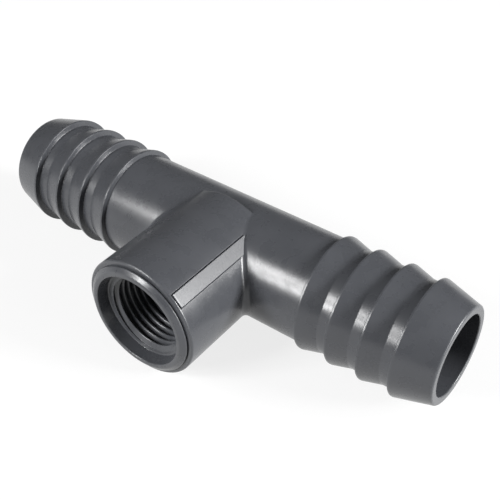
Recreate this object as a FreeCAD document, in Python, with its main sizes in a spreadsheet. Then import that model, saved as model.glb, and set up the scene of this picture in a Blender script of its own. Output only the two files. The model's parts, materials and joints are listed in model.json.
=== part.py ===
import FreeCAD, Part
import os
import Sketcher

# A moulded pipe tee for irrigation: a straight run with a barbed spigot at each end, and a round boss
# on its side with a tapered female pipe thread. The run lies along X, the outlet points along -Y and
# +Z is up. The origin is where the two flow axes cross. Sizes are in millimetres.
#
# The moulding is divided where its shape changes: the run's tube, the two spigots, the boss, the lip
# round the mouth, the threaded sleeve and the flat label pad. The pieces meet face to face.

driving_sizes = {
    # the run's tube, between the first steps of the two spigots
    "boreRadius": 10.0,
    "tubeWall": 3.4,
    "tubeHalfLength": 29.4,
    # the barbs: how far their crests stand above the tube, and their roots lie below it
    "barbPitch": 8.1,
    "crestHeight": 1.1,
    "rootDepth": 0.25,
    "stepSlant": 0.25,
    "crestLand": 0.6,
    "rootLand": 2.6,
    "noseLength": 8.95,
    "tipWall": 2.05,
    "tipRounding": 0.55,
    "tipBoreRounding": 0.25,
    # the outlet's throat, beyond the tube, and the boss round it
    "throatRadius": 9.0,
    "throatLength": 3.7,
    "bossWall": 4.95,
    "bossRounding": 0.35,
    # the threaded sleeve: 14 threads to the inch on a taper of 1 in 16
    "throatStep": 0.25,
    "threadDepth": 1.25,
    "threadPitch": 1.814,
    "threadRootFlat": 0.18,
    "threadFlankAngle": 30.0,
    "threadTaperAngle": 1.79,
    "threadStart": 1.3,
    "threadRunout": 1.2,
    "sleeveWall": 1.9,
    "sleeveLength": 15.7,
    "countersinkDepth": 2.1,
    # the lip round the mouth, and the mouth's clearance round the thread
    "lipLength": 1.4,
    "lipInset": 1.2,
    "lipRounding": 0.55,
    "neckDepth": 0.4,
    "neckLength": 0.4,
    "mouthRelief": 1.05,
    "mouthDraft": 0.15,
    # the flat pad on the boss
    "padAngle": 44.5,
    "padWidth": 3.5,
    "padProud": 0.3,
    "padThickness": 0.9,
    "padEndGap": 0.8,
}
barb_count = 4

# sizes that follow from the driving ones, as formulas for the document
tube_radius = "(sizes.boreRadius + sizes.tubeWall)"
crest_radius = f"({tube_radius} + sizes.crestHeight)"
root_radius = f"({tube_radius} - sizes.rootDepth)"
tip_radius = "(sizes.boreRadius + sizes.tipWall)"
thread_crest_radius = "(sizes.throatRadius + sizes.throatStep)"
thread_root_radius = f"({thread_crest_radius} + sizes.threadDepth)"
sleeve_radius = f"({thread_root_radius} + sizes.sleeveWall)"
boss_radius = f"({thread_root_radius} + sizes.bossWall)"
lip_radius = f"({boss_radius} - sizes.lipInset)"
neck_radius = f"({lip_radius} - sizes.neckDepth)"
mouth_foot_radius = f"({thread_root_radius} + sizes.mouthRelief)"
mouth_radius = f"({mouth_foot_radius} + sizes.mouthDraft)"
sleeve_start = f"({tube_radius} + sizes.throatLength)"
boss_end = f"({sleeve_start} + sizes.sleeveLength)"
pad_end = f"({boss_end} - sizes.padEndGap)"

document = FreeCAD.newDocument("pipe_tee")
sheet = document.addObject("Spreadsheet::Sheet", "sizes")
for row, (name, number) in enumerate(driving_sizes.items(), start=1):
    sheet.set(f"A{row}", name)
    sheet.set(f"B{row}", str(number))
    sheet.setAlias(f"B{row}", name)
document.recompute()


def new_body(label):
    """An empty body, which becomes one piece of the tee."""
    body = document.addObject("PartDesign::Body", label)
    body.Label = label
    return body


def new_sketch(body, name, role):
    """An empty sketch on one of the body's origin planes, such as XY_Plane."""
    sketch = body.newObject("Sketcher::SketchObject", name)
    plane = next(item for item in body.Origin.OriginFeatures if item.Role == role)
    sketch.AttachmentSupport = [(plane, "")]
    sketch.MapMode = "FlatFace"
    return sketch


def outline(body, name, role, corners):
    """A closed outline of straight lines. Each corner is a pair of formulas, across and up the sketch.

    The lines start in a zigzag, and two distances from the sketch's origin then hold each corner.
    """
    sketch = new_sketch(body, name, role)
    count = len(corners)
    for here in range(count):
        there = here + 1
        start = FreeCAD.Vector(here, here % 2, 0)
        end = FreeCAD.Vector(there, there % 2, 0)
        sketch.addGeometry(Part.LineSegment(start, end), False)
    for here in range(count):
        sketch.addConstraint(Sketcher.Constraint("Coincident", here, 2, (here + 1) % count, 1))
    for here, formulas in enumerate(corners):
        for direction, formula in zip(("DistanceX", "DistanceY"), formulas):
            index = sketch.addConstraint(Sketcher.Constraint(direction, -1, 1, here, 1, 1.0))
            sketch.setExpression(f"Constraints[{index}]", formula)
    return sketch


def disc(body, name, role, radius):
    """A circle about the sketch's origin."""
    sketch = new_sketch(body, name, role)
    circle = Part.Circle(FreeCAD.Vector(0, 0, 0), FreeCAD.Vector(0, 0, 1), 1.0)
    sketch.addGeometry(circle, False)
    sketch.addConstraint(Sketcher.Constraint("Coincident", 0, 3, -1, 1))
    index = sketch.addConstraint(Sketcher.Constraint("Radius", 0, 1.0))
    sketch.setExpression(f"Constraints[{index}]", radius)
    return sketch


def turn_outline(label, name, corners, axis):
    """A new body turned from an outline about the sketch's H_Axis, which is X, or its V_Axis, which is Y."""
    body = new_body(label)
    turned = body.newObject("PartDesign::Revolution", name)
    turned.Profile = outline(body, name + "_outline", "XY_Plane", corners)
    turned.ReferenceAxis = (turned.Profile[0], [axis])
    turned.Angle = 360
    document.recompute()
    return body


def require_less(body, name, before):
    """Stop if a feature that should remove material has removed none."""
    if body.Shape.Volume > before - 1.0:
        raise RuntimeError(f"{body.Label}: {name} cuts nothing")


def cut_to_one_side(body, name, sketch, length):
    """Cut a sketch on the XZ plane into the body, towards -Y."""
    before = body.Shape.Volume
    pocket = body.newObject("PartDesign::Pocket", name)
    pocket.Profile = sketch
    pocket.Reversed = True
    pocket.setExpression("Length", length)
    document.recompute()
    require_less(body, name, before)


def cut_the_tube_away(body, name):
    """Cut the outside of the run's tube out of the body, so that the body seats on it."""
    before = body.Shape.Volume
    pocket = body.newObject("PartDesign::Pocket", name)
    pocket.Profile = disc(body, name + "_circle", "YZ_Plane", tube_radius)
    pocket.SideType = "Symmetric"
    pocket.setExpression("Length", f"4 * {boss_radius}")
    document.recompute()
    require_less(body, name, before)


def round_rim(body, name, radius, axis, end, which):
    """Round a circular edge at one end of the body.

    The axis is 0 for X or 1 for Y, the end is max or min along it, and which is max for the widest
    circle there or min for the narrowest.
    """
    circles = []
    for number, edge in enumerate(body.Shape.Edges, start=1):
        if isinstance(edge.Curve, Part.Circle) and abs(edge.Curve.Axis[axis]) > 0.999:
            circles.append((round(edge.Curve.Center[axis], 4), round(edge.Curve.Radius, 4), f"Edge{number}"))
    place = end(circle[0] for circle in circles)
    rims = [circle for circle in circles if circle[0] == place]
    wanted = which(rim[1] for rim in rims)
    base = body.Tip
    fillet = body.newObject("PartDesign::Fillet", name)
    fillet.Base = (base, [rim[2] for rim in rims if rim[1] == wanted])
    fillet.setExpression("Radius", radius)
    document.recompute()


# the tube of the run, from one spigot's first step to the other's, with the outlet's throat in its side
def make_run_tube():
    tube = turn_outline("run_tube", "tube_wall", [
        ("-sizes.tubeHalfLength", "sizes.boreRadius"),
        ("sizes.tubeHalfLength", "sizes.boreRadius"),
        ("sizes.tubeHalfLength", tube_radius),
        ("-sizes.tubeHalfLength", tube_radius),
    ], "H_Axis")
    throat = disc(tube, "throat_circle", "XZ_Plane", "sizes.throatRadius")
    cut_to_one_side(tube, "throat", throat, f"{tube_radius} + sizes.throatLength")
    return tube


# One spigot: each barb is a steep step up from the root, a narrow land and a cone down to the next root.
# The last cone runs on to the thin tip. The spigot is drawn along +X and turned about Z to its end.
def make_spigot(label, turn):
    corners = [("sizes.tubeHalfLength", "sizes.boreRadius")]
    foot_radius = tube_radius
    for barb in range(barb_count):
        foot = f"sizes.tubeHalfLength + {barb} * sizes.barbPitch"
        land_end = f"{foot} + sizes.stepSlant + sizes.crestLand"
        corners.append((foot, foot_radius))
        corners.append((f"{foot} + sizes.stepSlant", crest_radius))
        corners.append((land_end, crest_radius))
        if barb < barb_count - 1:
            corners.append((f"{foot} + sizes.barbPitch - sizes.rootLand", root_radius))
        foot_radius = root_radius
    tip = f"{land_end} + sizes.noseLength"
    corners.append((tip, tip_radius))
    corners.append((tip, "sizes.boreRadius"))
    spigot = turn_outline(label, label + "_wall", corners, "H_Axis")
    round_rim(spigot, label + "_tip_edge", "sizes.tipRounding", 0, max, max)
    round_rim(spigot, label + "_bore_edge", "sizes.tipBoreRounding", 0, max, min)
    spigot.Placement = FreeCAD.Placement(
        FreeCAD.Vector(0, 0, 0), FreeCAD.Rotation(FreeCAD.Vector(0, 0, 1), turn))
    return spigot


def pad_corners():
    """The label pad's section across the boss, on its +X side."""
    outer = f"({boss_radius} + sizes.padProud)"
    inner = f"({outer} - sizes.padThickness)"
    cosine = "cos(sizes.padAngle * 1deg)"
    sine = "sin(sizes.padAngle * 1deg)"
    half = "sizes.padWidth / 2"
    corners = []
    for distance, offset in ((inner, -1), (outer, -1), (outer, 1), (inner, 1)):
        corners.append((
            f"{distance} * {cosine} - {offset} * {half} * {sine}",
            f"{distance} * {sine} + {offset} * {half} * {cosine}",
        ))
    return corners


# The boss stands on the run like a saddle: it starts at the run's axis, is cut away where the tube
# passes through it, and is bored for the threaded sleeve and, behind that, for the plain throat.
def make_outlet_boss():
    boss = turn_outline("outlet_boss", "boss_wall", [
        ("sizes.throatRadius", "0"),
        (boss_radius, "0"),
        (boss_radius, f"-{boss_end}"),
        (sleeve_radius, f"-{boss_end}"),
        (sleeve_radius, f"-{sleeve_start}"),
        ("sizes.throatRadius", f"-{sleeve_start}"),
    ], "V_Axis")
    cut_the_tube_away(boss, "saddle")
    round_rim(boss, "boss_edge", "sizes.bossRounding", 1, min, max)
    seat = outline(boss, "pad_seat_outline", "XZ_Plane", pad_corners())
    cut_to_one_side(boss, "pad_seat", seat, pad_end)
    return boss


# a flat raised strip along the boss, running out into the tube's side
def make_label_pad():
    pad = new_body("label_pad")
    strip = pad.newObject("PartDesign::Pad", "pad_strip")
    strip.Profile = outline(pad, "pad_outline", "XZ_Plane", pad_corners())
    strip.setExpression("Length", pad_end)
    document.recompute()
    cut_the_tube_away(pad, "pad_end")
    return pad


# The sleeve carries the thread: a countersink at the mouth's end, then a straight bore with a V groove
# wound into it. The groove's root follows the taper, so it gets shallower inwards.
def make_thread_sleeve():
    sleeve = turn_outline("thread_sleeve", "sleeve_wall", [
        (thread_crest_radius, f"-{sleeve_start}"),
        (sleeve_radius, f"-{sleeve_start}"),
        (sleeve_radius, f"-{boss_end}"),
        (mouth_foot_radius, f"-{boss_end}"),
        (thread_crest_radius, f"-{boss_end} + sizes.countersinkDepth"),
    ], "V_Axis")
    before = sleeve.Shape.Volume
    middle = f"-{boss_end} + sizes.threadStart"
    inside = f"({thread_crest_radius} - sizes.threadPitch / 2)"
    half_root = "sizes.threadRootFlat / 2"
    flank = f"({thread_root_radius} - {inside}) * tan(sizes.threadFlankAngle * 1deg)"
    groove = outline(sleeve, "groove_outline", "XY_Plane", [
        (inside, f"{middle} - {half_root} - {flank}"),
        (thread_root_radius, f"{middle} - {half_root}"),
        (thread_root_radius, f"{middle} + {half_root}"),
        (inside, f"{middle} + {half_root} + {flank}"),
    ])
    helix = sleeve.newObject("PartDesign::SubtractiveHelix", "thread_groove")
    helix.Profile = groove
    helix.ReferenceAxis = (groove, ["V_Axis"])
    helix.Mode = "pitch-height-angle"
    helix.setExpression("Pitch", "sizes.threadPitch")
    helix.setExpression("Height", "sizes.sleeveLength - sizes.threadStart - sizes.threadRunout")
    helix.setExpression("Angle", "-sizes.threadTaperAngle")
    document.recompute()
    require_less(sleeve, "thread_groove", before)
    return sleeve


# the rounded lip round the mouth, on a slightly narrower neck that leaves a fine groove at the boss
def make_mouth_lip():
    lip = turn_outline("mouth_lip", "lip_wall", [
        (mouth_foot_radius, f"-{boss_end}"),
        (neck_radius, f"-{boss_end}"),
        (neck_radius, f"-{boss_end} - sizes.neckLength"),
        (lip_radius, f"-{boss_end} - sizes.neckLength"),
        (lip_radius, f"-{boss_end} - sizes.lipLength"),
        (mouth_radius, f"-{boss_end} - sizes.lipLength"),
    ], "V_Axis")
    round_rim(lip, "lip_edge", "sizes.lipRounding", 1, min, max)
    return lip


pieces = [
    make_run_tube(),
    make_spigot("left_spigot", 180),
    make_spigot("right_spigot", 0),
    make_outlet_boss(),
    make_label_pad(),
    make_thread_sleeve(),
    make_mouth_lip(),
]
document.recompute()

for item in document.Objects:
    if "Invalid" in item.State or "Error" in item.State:
        raise RuntimeError(f"{item.Label} did not build: {item.State}")
for piece in pieces:
    if piece.Shape.isNull() or not piece.Shape.isValid() or len(piece.Shape.Solids) != 1:
        raise RuntimeError(f"{piece.Label} is not one valid solid")

os.makedirs("parts", exist_ok=True)
for piece in pieces:
    piece.Shape.exportStep(f"parts/{piece.Label}.step")
    print(f"{piece.Label}: {piece.Shape.Volume:.1f} mm3")
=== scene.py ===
import json
import math

import bmesh
import bpy
import numpy as np
from mathutils import Matrix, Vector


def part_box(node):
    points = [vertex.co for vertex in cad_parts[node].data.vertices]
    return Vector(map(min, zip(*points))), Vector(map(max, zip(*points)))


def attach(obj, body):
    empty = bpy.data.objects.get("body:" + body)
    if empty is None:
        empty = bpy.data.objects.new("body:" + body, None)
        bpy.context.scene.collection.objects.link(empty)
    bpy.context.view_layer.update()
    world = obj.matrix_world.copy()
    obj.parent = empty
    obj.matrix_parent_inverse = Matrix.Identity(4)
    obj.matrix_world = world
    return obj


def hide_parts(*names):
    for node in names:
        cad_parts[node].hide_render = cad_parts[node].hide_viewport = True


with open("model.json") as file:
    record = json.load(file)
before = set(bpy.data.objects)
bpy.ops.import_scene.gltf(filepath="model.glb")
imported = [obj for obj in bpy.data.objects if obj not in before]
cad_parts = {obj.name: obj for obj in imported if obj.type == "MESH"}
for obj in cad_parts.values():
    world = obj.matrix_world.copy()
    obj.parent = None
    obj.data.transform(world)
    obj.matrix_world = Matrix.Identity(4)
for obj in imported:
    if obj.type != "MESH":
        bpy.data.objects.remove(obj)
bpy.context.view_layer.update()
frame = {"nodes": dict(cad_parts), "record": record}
print("frame loaded:", ", ".join(sorted(frame["nodes"])))

mm = 0.001
fullTurn = 2 * math.pi
mounts = {mount["name"]: mount for mount in frame["record"]["mounts"]}

# sizes read from the frame: the run lies along x, the outlet points along -y
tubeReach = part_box("run_tube")[1].x
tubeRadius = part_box("run_tube")[1].z
boreRadius = mounts["run_bore"]["dims"]["r_mm"] * mm
throatRadius = mounts["outlet_thread"]["dims"]["r_mm"] * mm
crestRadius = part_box("right_spigot")[1].z
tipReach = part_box("right_spigot")[1].x
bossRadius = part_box("outlet_boss")[1].z
bossReach = -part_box("outlet_boss")[0].y
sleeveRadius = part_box("thread_sleeve")[1].z
sleeveStart = -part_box("thread_sleeve")[1].y
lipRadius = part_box("mouth_lip")[1].z
mouthReach = -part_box("mouth_lip")[0].y


# A line of straight runs joined by arcs. At a corner of inner angle a, an arc of radius r starts
# r / tan(a / 2) before it, about a centre r / sin(a / 2) away. Wear is 1 on the arcs of outer corners.
def roundedLine(corners, radii, arcSteps=6, spacing=1.5 * mm, keep=0.03 * mm, closed=True):
    corners = np.array(corners, float)
    count = len(corners)
    points, wear = [], []
    following = np.roll(corners, -1, axis=0)
    area = 0.5 * np.sum(corners[:, 0] * following[:, 1] - corners[:, 1] * following[:, 0])
    ends = []
    for here in range(count):
        middle = corners[here]
        before = corners[here - 1] - middle
        after = corners[(here + 1) % count] - middle
        u, v = before / np.linalg.norm(before), after / np.linalg.norm(after)
        radius = radii[here]
        if radius <= 0 or (not closed and here in (0, count - 1)):
            ends.append((middle[None], np.zeros(1)))
            continue
        angle = math.acos(np.clip(u @ v, -1, 1))
        centre = middle + (u + v) / np.linalg.norm(u + v) * radius / math.sin(angle / 2)
        start = middle + u * radius / math.tan(angle / 2) - centre
        end = middle + v * radius / math.tan(angle / 2) - centre
        sweep = math.pi - angle
        share = np.linspace(0, 1, arcSteps + 1)[:, None]
        arc = centre + (np.sin((1 - share) * sweep) * start + np.sin(share * sweep) * end) / math.sin(sweep)
        turn = before[0] * after[1] - before[1] * after[0]
        outer = 1.0 if turn * area < 0 else 0.0
        ends.append((arc, np.full(len(arc), outer)))
    last = count if closed else count - 1
    for here in range(count):
        points.append(ends[here][0])
        wear.append(ends[here][1])
        if here >= last:
            continue
        a, b = ends[here][0][-1], ends[(here + 1) % count][0][0]
        length = np.linalg.norm(b - a)
        if length < 3 * keep:
            continue
        inner = np.linspace(keep / length, 1 - keep / length, max(2, int(length / spacing) + 1))[:, None]
        points.append(a + (b - a) * inner)
        wear.append(np.zeros(len(inner)))
    return np.concatenate(points), np.concatenate(wear)


# Faces of a grid of rows and columns: each takes four neighbours. A closed way joins its end to its start.
def gridFaces(rows, columns, closeRows=True, closeColumns=True, offset=0):
    i = np.arange(rows if closeRows else rows - 1)
    j = np.arange(columns if closeColumns else columns - 1)
    i, j = np.meshgrid(i, j, indexing="ij")
    nextI, nextJ = (i + 1) % rows, (j + 1) % columns
    here, ahead = i * columns, nextI * columns
    quads = np.stack([here + j, here + nextJ, ahead + nextJ, ahead + j], -1)
    return quads.reshape(-1, 4) + offset


# A mesh piece from points and faces. Doubles are merged, normals turned outwards, and corners sharper
# than the given angle keep an edge. It rides on the moulding and stands for its CAD node.
def makePiece(name, points, faces, node, wear=None, sharpAngle=38):
    mesh = bpy.data.meshes.new(name)
    corners = np.asarray(points, float).reshape(-1, 3).tolist()
    mesh.from_pydata(corners, [], [list(map(int, face)) for face in faces])
    attribute = mesh.attributes.new("edgeWear", "FLOAT", "POINT")
    amounts = np.zeros(len(mesh.vertices)) if wear is None else np.asarray(wear, float).reshape(-1)
    attribute.data.foreach_set("value", amounts.astype(np.float32))
    work = bmesh.new()
    work.from_mesh(mesh)
    bmesh.ops.remove_doubles(work, verts=work.verts, dist=0.0005 * mm)
    bmesh.ops.recalc_face_normals(work, faces=work.faces)
    work.to_mesh(mesh)
    work.free()
    mesh.polygons.foreach_set("use_smooth", np.ones(len(mesh.polygons), bool))
    mesh.set_sharp_from_angle(angle=math.radians(sharpAngle))
    mesh.materials.append(moulding)
    piece = bpy.data.objects.new(name, mesh)
    bpy.context.scene.collection.objects.link(piece)
    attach(piece, "root")
    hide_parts(node)
    print(f"{name}: {len(mesh.vertices)} points")
    return piece


# dark grey moulded PVC: a cool grey that drifts slightly, soft gloss, fine ripple and dulled edges
pvcFinish = {
    "deep": (0.057, 0.06, 0.067, 1),
    "light": (0.068, 0.071, 0.079, 1),
    "scuff": (0.12, 0.125, 0.132, 1),
    "scuffAmount": 0.16,
    "roughness": (0.24, 0.32),
    "rippleScale": 420.0,
    "rippleHeight": 0.009 * mm,
    "grainScale": 5200.0,
    "grainHeight": 0.0017 * mm,
    "gloss": 0.5,
    "refraction": 1.53,
    "driftScale": 130.0,
    "driftSpread": (0.3, 0.7),
    "speckleScale": 900.0,
    "speckleSpread": (0.42, 0.68),
    "marksScale": 260.0,
    "marksSpread": (0.3, 0.7),
    "scuffDulling": 0.5,
}


def makeMoulding(finish):
    material = bpy.data.materials.new("moulded grey pvc")
    material.use_nodes = True
    nodes, links = material.node_tree.nodes, material.node_tree.links
    nodes.clear()

    def add(kind, **settings):
        node = nodes.new(kind)
        for key, value in settings.items():
            if hasattr(node, key):
                setattr(node, key, value)
            else:
                node.inputs[key.replace("_", " ")].default_value = value
        return node

    place = add("ShaderNodeTexCoord")
    output = add("ShaderNodeOutputMaterial")
    shader = add("ShaderNodeBsdfPrincipled")
    shader.inputs["Specular IOR Level"].default_value = finish["gloss"]
    shader.inputs["IOR"].default_value = finish["refraction"]
    links.new(shader.outputs["BSDF"], output.inputs["Surface"])

    # the melt's slow colour drift, a few millimetres across
    drift = add("ShaderNodeTexNoise", Scale=finish["driftScale"], Detail=4.0, Roughness=0.55)
    links.new(place.outputs["Object"], drift.inputs["Vector"])
    tone = add("ShaderNodeValToRGB")
    tone.color_ramp.elements[0].position = finish["driftSpread"][0]
    tone.color_ramp.elements[0].color = finish["deep"]
    tone.color_ramp.elements[1].position = finish["driftSpread"][1]
    tone.color_ramp.elements[1].color = finish["light"]
    links.new(drift.outputs["Fac"], tone.inputs["Fac"])

    # scuffing breaks up along the rounded outer edges
    worn = add("ShaderNodeAttribute", attribute_name="edgeWear")
    speckle = add("ShaderNodeTexNoise", Scale=finish["speckleScale"], Detail=5.0, Roughness=0.65)
    links.new(place.outputs["Object"], speckle.inputs["Vector"])
    chips = add("ShaderNodeMapRange")
    chips.inputs["From Min"].default_value = finish["speckleSpread"][0]
    chips.inputs["From Max"].default_value = finish["speckleSpread"][1]
    chips.inputs["To Max"].default_value = finish["scuffAmount"]
    links.new(speckle.outputs["Fac"], chips.inputs["Value"])
    scuffed = add("ShaderNodeMath", operation="MULTIPLY")
    links.new(worn.outputs["Fac"], scuffed.inputs[0])
    links.new(chips.outputs["Result"], scuffed.inputs[1])
    colour = add("ShaderNodeMix", data_type="RGBA")
    colour.inputs[7].default_value = finish["scuff"]
    links.new(scuffed.outputs["Value"], colour.inputs[0])
    links.new(tone.outputs["Color"], colour.inputs[6])
    links.new(colour.outputs[2], shader.inputs["Base Color"])

    # the gloss varies with handling marks and is lower where the edges are scuffed
    marks = add("ShaderNodeTexNoise", Scale=finish["marksScale"], Detail=6.0, Roughness=0.6)
    links.new(place.outputs["Object"], marks.inputs["Vector"])
    dullness = add("ShaderNodeMapRange")
    dullness.inputs["From Min"].default_value = finish["marksSpread"][0]
    dullness.inputs["From Max"].default_value = finish["marksSpread"][1]
    dullness.inputs["To Min"].default_value, dullness.inputs["To Max"].default_value = finish["roughness"]
    links.new(marks.outputs["Fac"], dullness.inputs["Value"])
    rubbed = add("ShaderNodeMath", operation="MULTIPLY_ADD")
    rubbed.inputs[1].default_value = finish["scuffDulling"]
    links.new(scuffed.outputs["Value"], rubbed.inputs[0])
    links.new(dullness.outputs["Result"], rubbed.inputs[2])
    links.new(rubbed.outputs["Value"], shader.inputs["Roughness"])

    # two bumps: the soft ripple of the cooling skin and the fine grain of the mould
    ripple = add("ShaderNodeTexNoise", Scale=finish["rippleScale"], Detail=2.0, Roughness=0.5)
    grain = add("ShaderNodeTexNoise", Scale=finish["grainScale"], Detail=3.0, Roughness=0.6)
    links.new(place.outputs["Object"], ripple.inputs["Vector"])
    links.new(place.outputs["Object"], grain.inputs["Vector"])
    soft = add("ShaderNodeBump", Strength=1.0, Distance=finish["rippleHeight"])
    fine = add("ShaderNodeBump", Strength=1.0, Distance=finish["grainHeight"])
    links.new(ripple.outputs["Fac"], soft.inputs["Height"])
    links.new(grain.outputs["Fac"], fine.inputs["Height"])
    links.new(soft.outputs["Normal"], fine.inputs["Normal"])
    links.new(fine.outputs["Normal"], shader.inputs["Normal"])
    return material


moulding = makeMoulding(pvcFinish)
print("finish made")


# the run's tube
runTube = {
    "around": 256,
    "endRows": 96,
    "evenness": 0.45,
    "firstRows": [0, 0.004, 0.02],
    "middleSpan": (0.05, 0.95),
    "skinRows": 40,
    "lastRow": 0.98,
    "endKeep": 0.03 * mm,
}


# Both skins of the tube are unrolled: a point has its place x and its angle b about the axis, and lies
# at (x, -r cos b, r sin b). The grid runs from the round throat, x = t cos p and r sin b = t sin p,
# straight to the edge of the unrolled sheet, |x| = reach or |b| = half a turn.
def makeRunTube(form):
    sideCount = form["around"]
    endCount = form["endRows"]
    along = np.linspace(-1, 1, endCount + 1)[:-1]
    turning = np.linspace(-1, 1, sideCount + 1)[:-1]
    edgeX = np.concatenate([np.ones(sideCount), -along, -np.ones(sideCount), along]) * tubeReach
    edgeB = np.concatenate([turning, np.ones(endCount), -turning, -np.ones(endCount)]) * math.pi
    onSeam = np.concatenate([np.zeros(sideCount, bool), np.ones(endCount, bool)] * 2)
    # the angle round the throat follows the edge point's own bearing on the sheet, evened out
    bearing = np.unwrap(np.arctan2(edgeB * form["evenness"] * tubeRadius, edgeX))
    share = np.sort(np.concatenate([
        form["firstRows"], np.linspace(*form["middleSpan"], form["skinRows"]),
        [form["lastRow"], 1 - form["endKeep"] / tubeReach * 2, 1]]))

    def skin(radius):
        throatX = throatRadius * np.cos(bearing)
        throatB = np.arcsin(throatRadius * np.sin(bearing) / radius)
        x = throatX[:, None] + (edgeX - throatX)[:, None] * share
        b = throatB[:, None] + (edgeB - throatB)[:, None] * share
        return np.stack([x, -radius * np.cos(b), radius * np.sin(b)], -1)

    outer = skin(tubeRadius)
    inner = skin(boreRadius)[:, ::-1]
    sheet = np.concatenate([outer, inner], 1)
    rows, columns = sheet.shape[:2]
    faces = gridFaces(rows, columns).reshape(rows, columns, 4)
    # along the seam, where the sheet's two edges meet, there is no wall between the skins
    lastOuter = outer.shape[1] - 1
    keepFace = np.ones((rows, columns), bool)
    keepFace[onSeam, lastOuter] = False
    return makePiece("runTube", sheet, faces[keepFace], "run_tube")


makeRunTube(runTube)


# the spigots: barbs with a steep step, a narrow land and a long cone down to the next root
spigot = {
    "around": 224,
    "barbs": 4,
    "pitch": 8.1 * mm,
    "rootRadius": 13.15 * mm,
    "tipRadius": 12.05 * mm,
    "stepSlant": 0.28 * mm,
    "crestLand": 0.5 * mm,
    "rootLand": 2.5 * mm,
    "stepRound": 0.16 * mm,
    "crestRound": 0.4 * mm,
    "rootRound": 0.9 * mm,
    "footRound": 0.2 * mm,
    "tipRound": 0.6 * mm,
    "boreRound": 0.3 * mm,
}


# A profile of (x, r) turned about the run's axis: (x, r, a) gives (side x, r cos a, r sin a).
def makeSpigot(name, node, side, form):
    corners = [(tubeReach, boreRadius), (tubeReach, tubeRadius)]
    radii = [0, 0]
    foot = tubeRadius
    for barb in range(form["barbs"]):
        start = tubeReach + barb * form["pitch"]
        if barb:
            corners.append((start, foot))
            radii.append(form["footRound"])
        corners.append((start + form["stepSlant"], crestRadius))
        corners.append((start + form["stepSlant"] + form["crestLand"], crestRadius))
        radii += [form["stepRound"], form["crestRound"]]
        if barb < form["barbs"] - 1:
            corners.append((start + form["pitch"] - form["rootLand"], form["rootRadius"]))
            radii.append(form["rootRound"])
        foot = form["rootRadius"]
    corners += [(tipReach, form["tipRadius"]), (tipReach, boreRadius)]
    radii += [form["tipRound"], form["boreRound"]]
    profile, wear = roundedLine(corners, radii, spacing=1.2 * mm)
    angle = np.linspace(0, fullTurn, form["around"], endpoint=False)[:, None]
    x, r = profile[:, 0], profile[:, 1]
    points = np.stack([side * x + 0 * angle, r * np.cos(angle), r * np.sin(angle)], -1)
    faces = gridFaces(*points.shape[:2])
    return makePiece(name, points, faces, node, np.broadcast_to(wear, points.shape[:2]))


makeSpigot("leftSpigot", "left_spigot", -1, spigot)
makeSpigot("rightSpigot", "right_spigot", 1, spigot)


# the boss, with a fillet on the tube, a rounded front edge and a seat for the label pad
boss = {
    "around": 300,
    "frontRound": 0.55 * mm,
    "crownRound": 0.4 * mm,
    "sideFillet": 1.5 * mm,
    "crownFillet": 0.5 * mm,
    "wallRows": 60,
    "gapWidth": 0.26 * mm,
    "gapDepth": 0.24 * mm,
    "gapSpan": (-0.3 * mm, 0.5 * mm),
    "gapBearings": 17,
    "endDegrees": 4,
    "endBearings": 15,
    "footRows": 22,
    "edgeRows": 8,
    "stepRows": 6,
    "filletRows": 10,
    "faceRows": 6,
    "saddleRows": 6,
    "padEndSpan": (-0.6, 0.5),  # millimetres
    "padEndRows": 22,
}
labelPad = {
    "angle": 44.5,
    "halfWidth": 1.75 * mm,
    "proud": 0.3 * mm,
    "depth": 0.9 * mm,
    "endGap": 0.8 * mm,
    "backGap": 0.8 * mm,
    "round": 0.11 * mm,
    "footRound": 0.02 * mm,
    "endRows": 7,
    "rows": 60,
}
padEnd = bossReach - labelPad["endGap"]


# A smooth step from 0 to 1 between two values: t t (3 - 2 t).
def smoothStep(value, low, high):
    t = np.clip((value - low) / (high - low), 0, 1)
    return t * t * (3 - 2 * t)


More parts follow.
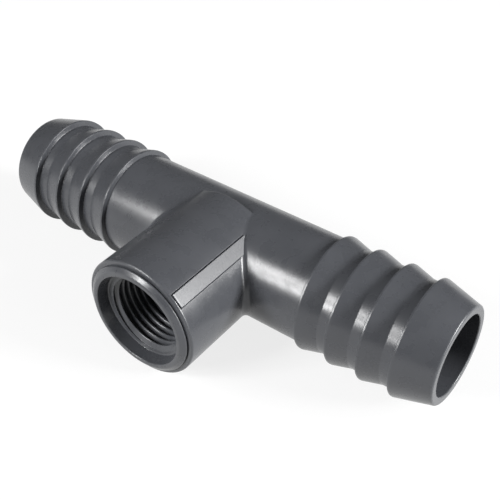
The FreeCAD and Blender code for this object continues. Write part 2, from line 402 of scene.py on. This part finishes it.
# The boss is a grid of bearing p about the outlet's axis and a path round its wall: down the throat,
# out along the front face, over the front edge, back along the outside and over the foot to the tube.
# wallR is the boss's radius, tubeR the tube's and f the fillet's. At the sides the foot is the arc of a
# ball that touches both cylinders: its centre is at x = (wallR + f) cos p, z = (wallR + f) sin p,
# y = -sqrt((tubeR + f)^2 - z^2). Over the crown, where that ball would pass the tube's top, with
# (wallR + f) sin p > tubeR + f, the wall ends in a small step at y = 0.
def makeBoss(form, pad):
    even = np.linspace(0, fullTurn, form["around"], endpoint=False)
    # extra bearings where the gaps beside the pad are
    padBearing = math.radians(pad["angle"])
    half = math.asin(pad["halfWidth"] / bossRadius)
    near = np.linspace(*form["gapSpan"], form["gapBearings"]) / bossRadius
    wallR, tubeR, f = bossRadius, tubeRadius, form["sideFillet"]
    # and closer ones below the crown's two ends, above and below the tube
    crownEnd = math.asin((tubeR + f) / (wallR + f))
    below = crownEnd - math.radians(form["endDegrees"]) * np.linspace(0, 1, form["endBearings"]) ** 2
    ends = np.concatenate([below, math.pi - below, math.pi + below, -below])
    p = np.concatenate([even, padBearing + half + near, padBearing - half - near, ends])
    p = np.unique(np.round(p % fullTurn, 6))
    cosP, sinP = np.cos(p), np.sin(p)
    height = np.abs(wallR * sinP) - tubeR
    crown = np.abs(sinP) > math.sin(crownEnd) + 1e-5

    # side foot, from the boss's wall along the ball to the tube
    centreX, centreZ = (wallR + f) * cosP, (wallR + f) * sinP
    centreY = -np.sqrt(np.maximum((tubeR + f) ** 2 - centreZ ** 2, 0))
    toBoss = np.stack([wallR * cosP - centreX, 0 * p, wallR * sinP - centreZ], -1)
    shrink = tubeR / (tubeR + f)
    toTube = np.stack([0 * p, centreY * (shrink - 1), centreZ * (shrink - 1)], -1)
    t = np.linspace(0, 1, form["footRows"])[None, :, None]
    centre = np.stack([centreX, centreY, centreZ], -1)[:, None]
    blend = toBoss[:, None] * (1 - t) + toTube[:, None] * t
    blend *= f / np.linalg.norm(blend, axis=-1, keepdims=True)
    sideFoot = centre + blend

    # crown foot: rounded edge, flat step, small fillet onto the top of the tube
    e = np.minimum(form["crownRound"], 0.4 * np.maximum(height, 1e-6))
    g = np.minimum(form["crownFillet"], 0.4 * np.maximum(height, 1e-6))
    sign = np.sign(sinP)
    q = np.linspace(0, math.pi / 2, form["edgeRows"])[None]
    radial = wallR - e[:, None] * (1 - np.cos(q))
    edge = np.stack([radial * cosP[:, None], e[:, None] * (np.sin(q) - 1), radial * sinP[:, None]], -1)
    fromX, fromZ = edge[:, -1, 0], np.abs(edge[:, -1, 2])
    ballZ = np.sqrt((tubeR + g) ** 2 - g ** 2)
    lowBearing = np.arctan2(ballZ, g)
    sweep = np.linspace(0, 1, form["filletRows"])[None] * lowBearing[:, None]
    filletY = g[:, None] * (1 - np.cos(sweep))
    filletZ = ballZ[:, None] - g[:, None] * np.sin(sweep)
    fillet = np.stack([fromX[:, None] + 0 * sweep, filletY, sign[:, None] * filletZ], -1)
    u = np.linspace(0, 1, form["stepRows"])[None, 1:-1]
    stepZ = fromZ[:, None] + (ballZ - fromZ)[:, None] * u
    step = np.stack([fromX[:, None] + 0 * u, 0 * stepZ, sign[:, None] * stepZ], -1)
    crownFoot = np.concatenate([edge, step, fillet], 1)
    foot = np.where(crown[:, None, None], crownFoot, sideFoot)

    # the outside, from the front edge back to the foot, with extra rows at the pad's end
    wallEnd = foot[:, 0, 1]
    front = -(bossReach - form["frontRound"])
    share = np.linspace(0, 1, form["wallRows"])
    rows = front + (wallEnd[:, None] - front) * share[None]
    near = -padEnd + np.linspace(*form["padEndSpan"], form["padEndRows"]) * mm
    rows = np.sort(np.concatenate([rows, np.broadcast_to(near, (len(p), len(near)))], 1), axis=1)
    rows = np.clip(rows, front, wallEnd[:, None])
    wall = np.stack([wallR * cosP[:, None] + 0 * rows, rows, wallR * sinP[:, None] + 0 * rows], -1)

    # the gap round the pad: the depth follows a cosine across the gap's width
    across = np.abs(wallR * np.sin(p - padBearing))[:, None] - pad["halfWidth"]
    facing = (np.cos(p - padBearing) > 0)[:, None]
    beyond = -padEnd - rows
    away = np.maximum(across, beyond)
    away = np.where((across > 0) & (beyond > 0), np.hypot(across, beyond), away)
    depth = form["gapDepth"] * (0.5 + 0.5 * np.cos(np.clip(away / form["gapWidth"], 0, 1) * math.pi))
    depth = np.where(facing, np.where(away < 0, form["gapDepth"], depth), 0)
    wall[..., 0] -= depth * cosP[:, None]
    wall[..., 2] -= depth * sinP[:, None]

    # front edge, front face, sleeve's seat, throat and the saddle on the tube
    r = form["frontRound"]
    q = np.linspace(0, math.pi / 2, form["edgeRows"])[:-1]
    faceRows = form["faceRows"]
    faceRadii = np.linspace(sleeveRadius, wallR - r, faceRows + 1)[1:]
    frontLine = np.concatenate([
        [(throatRadius, -sleeveStart), (sleeveRadius, -sleeveStart), (sleeveRadius, -bossReach)],
        np.stack([faceRadii, np.full(faceRows, -bossReach)], -1),
        np.stack([wallR - r + r * np.sin(q[1:]), -bossReach + r - r * np.cos(q[1:])], -1)])
    frontPart = np.stack([
        frontLine[None, :, 0] * cosP[:, None], 0 * cosP[:, None] + frontLine[None, :, 1],
        frontLine[None, :, 0] * sinP[:, None]], -1)
    footEnd = foot[:, -1]
    endB = np.arctan2(footEnd[:, 2], -footEnd[:, 1])
    holeX, holeB = throatRadius * cosP, np.arcsin(throatRadius * sinP / tubeR)
    u = np.linspace(0, 1, form["saddleRows"] + 1)[None, 1:]
    saddleX = footEnd[:, 0, None] + (holeX - footEnd[:, 0])[:, None] * u
    saddleB = endB[:, None] + (holeB - endB)[:, None] * u
    saddle = np.stack([saddleX, -tubeR * np.cos(saddleB), tubeR * np.sin(saddleB)], -1)
    points = np.concatenate([frontPart, wall, foot[:, 1:], saddle], 1)

    wear = np.zeros(points.shape[:2])
    frontCount = frontPart.shape[1]
    wear[:, frontCount - (form["edgeRows"] - 2):frontCount + 1] = 1
    footStart = frontCount + wall.shape[1]
    wear[:, footStart:footStart + form["edgeRows"] - 1] = crown[:, None]
    faces = gridFaces(*points.shape[:2])
    return makePiece("outletBoss", points, faces, "outlet_boss", wear)


makeBoss(boss, labelPad)


# The pad is a ring of points, a rounded box section across the boss, carried from the rounded end near
# the lip back into the fillet, a little short of the tube's side, which for a tube of radius t is at
# y = -sqrt(t^2 - z^2). At the rounded end the ring shrinks by r (1 - cos q) while it moves out by r sin q.
def makeLabelPad(form):
    w, top = form["halfWidth"], bossRadius + form["proud"]
    bottom = top - form["depth"]
    corners = [(-w, bottom), (w, bottom), (w, top), (-w, top)]
    radii = [form["footRound"], form["footRound"], form["round"], form["round"]]
    ring, wear = roundedLine(corners, radii, arcSteps=5, spacing=0.3 * mm)
    middle = (top + bottom) / 2
    endRows = form["endRows"]
    q = np.linspace(math.pi / 2, 0, endRows)[:, None]
    inset = form["round"] * (1 - np.cos(q))
    size = (form["rows"], len(ring))
    a = np.concatenate([ring[:, 0] * (1 - inset / w), np.broadcast_to(ring[:, 0], size)])
    b = middle + (ring[:, 1] - middle) * (1 - inset / (form["depth"] / 2))
    b = np.concatenate([b, np.broadcast_to(ring[:, 1], size)])
    angle = math.radians(form["angle"])
    x = b * math.cos(angle) - a * math.sin(angle)
    z = b * math.sin(angle) + a * math.cos(angle)
    start = -padEnd + form["round"]
    stop = -np.sqrt(np.maximum(tubeRadius ** 2 - z[-1] ** 2, 0)) - form["backGap"]
    share = np.linspace(0, 1, form["rows"] + 1)[1:, None]
    y = np.concatenate([start - form["round"] * np.sin(q) + 0 * x[:endRows], start + (stop - start) * share])
    points = np.stack([x, y, z], -1)
    rows, columns = points.shape[:2]
    faces = [list(face) for face in gridFaces(rows, columns, closeRows=False)]
    faces.append(list(range(columns)))
    faces.append(list(range((rows - 1) * columns, rows * columns)))
    wearGrid = np.broadcast_to(wear, (rows, columns)).copy()
    wearGrid[1:endRows] = 1
    return makePiece("labelPad", points, faces, "label_pad", wearGrid)


makeLabelPad(labelPad)


# the lip round the mouth, on its narrower neck
mouthLip = {
    "around": 256,
    "neckDepth": 0.25 * mm,
    "neckLength": 0.3 * mm,
    "footRadius": 11.7 * mm,
    "mouthRadius": 12.0 * mm,
    "slopeDepth": 1.2 * mm,
    "slopeLength": 0.85 * mm,
    "edgeRound": 1.1 * mm,
    "backRound": 0.08 * mm,
    "mouthRound": 0.3 * mm,
    "neckRound": 0.05 * mm,
    "slopeRound": 0.4 * mm,
}


# A profile of (y, r) turned about the outlet's axis.
def makeMouthLip(form):
    neck = lipRadius - form["neckDepth"]
    step = bossReach + form["neckLength"]
    corners = [(-bossReach, form["footRadius"]), (-bossReach, neck), (-step, neck), (-step, lipRadius),
               (form["slopeLength"] - mouthReach, lipRadius), (-mouthReach, lipRadius - form["slopeDepth"]),
               (-mouthReach, form["mouthRadius"])]
    radii = [0, 0, form["neckRound"], form["backRound"], form["slopeRound"], form["edgeRound"],
             form["mouthRound"]]
    profile, wear = roundedLine(corners, radii, spacing=0.5 * mm)
    angle = np.linspace(0, fullTurn, form["around"], endpoint=False)[:, None]
    y, r = profile[:, 0], profile[:, 1]
    points = np.stack([r * np.cos(angle), y + 0 * angle, r * np.sin(angle)], -1)
    faces = gridFaces(*points.shape[:2])
    return makePiece("mouthLip", points, faces, "mouth_lip", np.broadcast_to(wear, points.shape[:2]))


makeMouthLip(mouthLip)


# the threaded sleeve: a straight crest, a tapering V groove wound right-handed, and a stepped lead-in
thread = {
    "around": 192,
    "inwardRows": 250,
    "pitch": 1.814 * mm,
    "crestRadius": 9.25 * mm,
    "rootRadius": 10.5 * mm,
    "rootFlat": 0.18 * mm,
    "flankSlope": math.tan(math.radians(30)),
    "taper": math.tan(math.radians(1.79)),
    "grooveStart": 1.3 * mm,
    "grooveEnd": 1.2 * mm,
    "fade": 1.2 * mm,
    "leadIn": [(0, 11.7), (1.45, 11.35), (1.6, 11.1), (1.75, 10.2), (1.95, 9.6), (2.3, 9.2)],
    "leadInSpan": (1.4, 2.4),  # millimetres
    "leadInRows": 30,
    "outsideRows": 6,
    "soft": 0.05 * mm,
}


# The inside is a height field over bearing p and depth d from the boss's face. The groove's middle is at
# d = start - pitch p / turn + whole pitches, its radius is root - taper d - (|u| - flat / 2) / slope with u
# the distance to that middle, and the wall is the soft maximum of crest, groove and lead-in. The lead-in
# is a line through pairs of depth and radius in millimetres.
def makeThreadSleeve(form):
    sleeveLength = bossReach - sleeveStart
    p = np.linspace(0, fullTurn, form["around"], endpoint=False)[:, None]
    even = np.linspace(0, sleeveLength, form["inwardRows"])
    stepped = np.linspace(*form["leadInSpan"], form["leadInRows"]) * mm
    d = np.unique(np.concatenate([even, stepped]))[None]
    u = (d - form["grooveStart"] + form["pitch"] * p / fullTurn + form["pitch"] / 2) % form["pitch"]
    u = np.abs(u - form["pitch"] / 2)
    root = form["rootRadius"] - form["taper"] * np.maximum(d - form["grooveStart"], 0)
    groove = root - np.maximum(u - form["rootFlat"] / 2, 0) / form["flankSlope"]
    depth = smoothStep(sleeveLength - form["grooveEnd"] - d, 0, form["fade"])
    groove = form["crestRadius"] + (groove - form["crestRadius"]) * depth
    leadDepth, leadRadius = np.array(form["leadIn"]).T * mm
    leadIn = np.interp(d, leadDepth, leadRadius)

    def softMax(a, b):
        return 0.5 * (a + b + np.sqrt((a - b) ** 2 + form["soft"] ** 2))

    inside = softMax(softMax(np.full_like(groove, form["crestRadius"]), groove), leadIn)
    outside = np.full((form["around"], form["outsideRows"]), sleeveRadius)
    r = np.concatenate([inside, outside], 1)
    depthRow = np.concatenate([d[0], np.linspace(sleeveLength, 0, form["outsideRows"])])
    y = np.broadcast_to(depthRow - bossReach, r.shape)
    points = np.stack([r * np.cos(p), y, r * np.sin(p)], -1)
    faces = gridFaces(*points.shape[:2])
    return makePiece("threadSleeve", points, faces, "thread_sleeve", sharpAngle=75)


makeThreadSleeve(thread)
print("pieces made")


# the floor, which the boss touches, and a backdrop far round it: both pale and lit a little from within.
# Neither softens the part's underside, and the part mirrors only the floor.
stageForm = {
    "halfSize": 1.6,
    "colour": (0.2, 0.2, 0.2, 1),
    "glow": 0.8,
    "backdropGlow": 0.86,
    "sweep": 0.5,
    "height": 1.6,
    "roughness": 0.9,
    "around": 96,
    "floorRows": 9,
    "sweepRows": 13,
    "sink": 0.5 * mm,
}


# A piece of the stage, from points and faces, in the stage's pale glowing material.
def makeStagePiece(name, points, faces, glow, form):
    mesh = bpy.data.meshes.new(name)
    mesh.from_pydata(points.reshape(-1, 3).tolist(), [], faces.tolist())
    material = bpy.data.materials.new("pale " + name)
    material.use_nodes = True
    shader = material.node_tree.nodes["Principled BSDF"]
    shader.inputs["Base Color"].default_value = form["colour"]
    shader.inputs["Roughness"].default_value = form["roughness"]
    shader.inputs["Specular IOR Level"].default_value = 0
    shader.inputs["Emission Color"].default_value = (1, 1, 1, 1)
    shader.inputs["Emission Strength"].default_value = glow
    mesh.materials.append(material)
    piece = bpy.data.objects.new(name, mesh)
    bpy.context.scene.collection.objects.link(piece)
    piece.visible_diffuse = False
    return piece


# The backdrop is a line turned about z: out from the floor's middle edge, up round a quarter circle of
# radius w, (s - w + w sin q, w - w cos q), and on up the wall.
def makeStage(form):
    level, size, sweep = -bossRadius, form["halfSize"], form["sweep"]
    rows = form["floorRows"]
    side = np.linspace(-size, size, rows)
    x, y = np.meshgrid(side, side, indexing="ij")
    points = np.stack([x, y, np.full_like(x, level)], -1)
    faces = gridFaces(rows, rows, closeRows=False, closeColumns=False)[:, ::-1]
    makeStagePiece("floor", points, faces, form["glow"], form)

    q = np.linspace(0, math.pi / 2, form["sweepRows"])
    out = np.concatenate([[size - 2 * sweep], size - sweep + sweep * np.sin(q), [size]])
    up = np.concatenate([[0], sweep - sweep * np.cos(q), [form["height"]]]) + level - form["sink"]
    turn = np.linspace(0, fullTurn, form["around"], endpoint=False)[:, None]
    points = np.stack([out * np.cos(turn), out * np.sin(turn), up + 0 * turn], -1)
    faces = gridFaces(*points.shape[:2], closeColumns=False)
    backdrop = makeStagePiece("backdrop", points, faces, form["backdropGlow"], form)
    backdrop.visible_glossy = False


makeStage(stageForm)


# studio light: a dim pale room and soft round panels. Each panel hangs at a bearing and height in degrees
# and is as wide as its angle says.
room = {"colour": (1, 1, 1, 1), "strength": 0.11}
panels = {
    "key low": {"bearing": 339, "height": 20, "angle": 10, "power": 3.3},
    "key middle": {"bearing": 328, "height": 28, "angle": 10, "power": 2.4},
    "key left": {"bearing": 328, "height": 37, "angle": 10, "power": 1.2},
    "key right": {"bearing": 339, "height": 37, "angle": 10, "power": 1.9},
    "right low": {"bearing": 105, "height": 20, "angle": 10, "power": 5.8},
    "right high": {"bearing": 115, "height": 28, "angle": 10, "power": 5.6},
    "back right": {"bearing": 131, "height": 25, "angle": 10, "power": 0.65},
    "side low": {"bearing": 90, "height": 8, "angle": 22, "power": 2.6},
}
panelDistance = 0.9


# A panel stands at distance (sin a cos e, -cos a cos e, sin e) and faces the origin.
def makeLights():
    world = bpy.data.worlds.new("room")
    bpy.context.scene.world = world
    world.use_nodes = True
    background = world.node_tree.nodes["Background"]
    background.inputs["Color"].default_value = room["colour"]
    background.inputs["Strength"].default_value = room["strength"]
    for name, panel in panels.items():
        a, e, angle = (math.radians(panel[key]) for key in ("bearing", "height", "angle"))
        back = np.array([math.sin(a) * math.cos(e), -math.cos(a) * math.cos(e), math.sin(e)])
        right = np.array([math.cos(a), math.sin(a), 0])
        data = bpy.data.lights.new(name, "AREA")
        data.shape = "DISK"
        data.size = 2 * panelDistance * math.tan(angle / 2)
        data.energy = panel["power"]
        light = bpy.data.objects.new(name, data)
        matrix = np.eye(4)
        matrix[:3, :3] = np.stack([right, np.cross(back, right), back], -1)
        matrix[:3, 3] = back * panelDistance
        light.matrix_world = Matrix(matrix.tolist())
        bpy.context.scene.collection.objects.link(light)


makeLights()
print("lights made")


# the camera looks down over the outlet's right side
cameraForm = {
    "azimuth": 36.88,
    "elevation": 39.94,
    "roll": -0.08,
    "distance": 223.0 * mm,
    "target": (4.78 * mm, 2.62 * mm, -1.03 * mm),
    "lens": 64.14,
}


# The camera stands at target + distance (sin a cos e, -cos a cos e, sin e) and faces the target.
def makeCamera(form):
    a, e, turn = (math.radians(form[key]) for key in ("azimuth", "elevation", "roll"))
    back = np.array([math.sin(a) * math.cos(e), -math.cos(a) * math.cos(e), math.sin(e)])
    right = np.array([math.cos(a), math.sin(a), 0])
    up = np.cross(back, right)
    right, up = math.cos(turn) * right + math.sin(turn) * up, math.cos(turn) * up - math.sin(turn) * right
    data = bpy.data.cameras.new("camera")
    data.lens, data.sensor_width = form["lens"], 36
    data.clip_start, data.clip_end = 0.01, 20
    camera = bpy.data.objects.new("camera", data)
    matrix = np.eye(4)
    matrix[:3, :3] = np.stack([right, up, back], -1)
    matrix[:3, 3] = np.array(form["target"]) + back * form["distance"]
    camera.matrix_world = Matrix(matrix.tolist())
    bpy.context.scene.collection.objects.link(camera)
    bpy.context.scene.camera = camera


makeCamera(cameraForm)
bpy.context.scene.view_settings.view_transform = "Standard"

bpy.context.view_layer.update()
print("scene ready")
